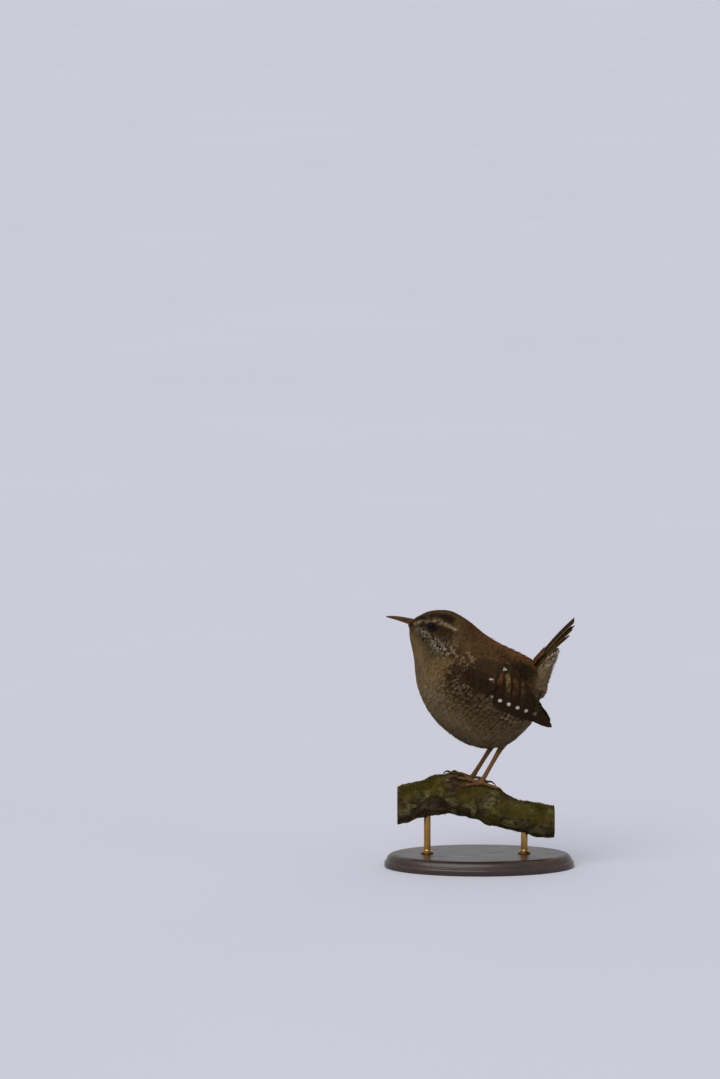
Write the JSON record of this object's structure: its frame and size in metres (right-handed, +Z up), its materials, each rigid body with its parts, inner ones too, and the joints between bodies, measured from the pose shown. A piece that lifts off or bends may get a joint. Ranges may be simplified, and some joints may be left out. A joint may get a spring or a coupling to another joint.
{
  "type": "wren model on a perch and stand",
  "caption": "Life-size still model of a Eurasian wren, tail cocked, gripping a short mossy branch on a plain display stand.",
  "frame": {"origin": "centre of the underside of the display stand's base, on the surface it stands on", "axes": "+Z up, the bird faces -X and its left side faces -Y"},
  "size_m": [0.084, 0.052, 0.1147],
  "materials": {
    "head_plumage": "fine dark brown feathers with a pale mottled brow stripe",
    "body_plumage": "soft feathers, rufous brown above and buff brown with dark bars below",
    "wing_feathers": "overlapping brown feathers with dark and rufous bars and pale spots",
    "tail_feathers": "rufous brown feathers with narrow dark bars",
    "bill_horn": "satin dark brown horn, paler below",
    "eye": "glossy, nearly black",
    "leg_scales": "orange-brown scaled skin with a slight shine",
    "mossy_bark": "rough grey-brown bark under green moss and lichen",
    "stand_wood": "dark stained wood, satin",
    "stand_brass": "brushed brass"
  },
  "bodies": {
    "root": {"head": "head_plumage", "neck": "body_plumage", "torso": "body_plumage", "thigh_left": "body_plumage", "thigh_right": "body_plumage", "undertail_coverts": "body_plumage", "uppertail_coverts": "tail_feathers", "tail": "tail_feathers", "wing_left": "wing_feathers", "wing_right": "wing_feathers", "bill_upper": "bill_horn", "bill_lower": "bill_horn", "eye_left": "eye", "eye_right": "eye", "shank_left": "leg_scales", "shank_right": "leg_scales", "foot_left": "leg_scales", "foot_right": "leg_scales", "perch": "mossy_bark", "stand_base": "stand_wood", "stand_rod_front": "stand_brass", "stand_rod_back": "stand_brass"}
  },
  "joints": []
}
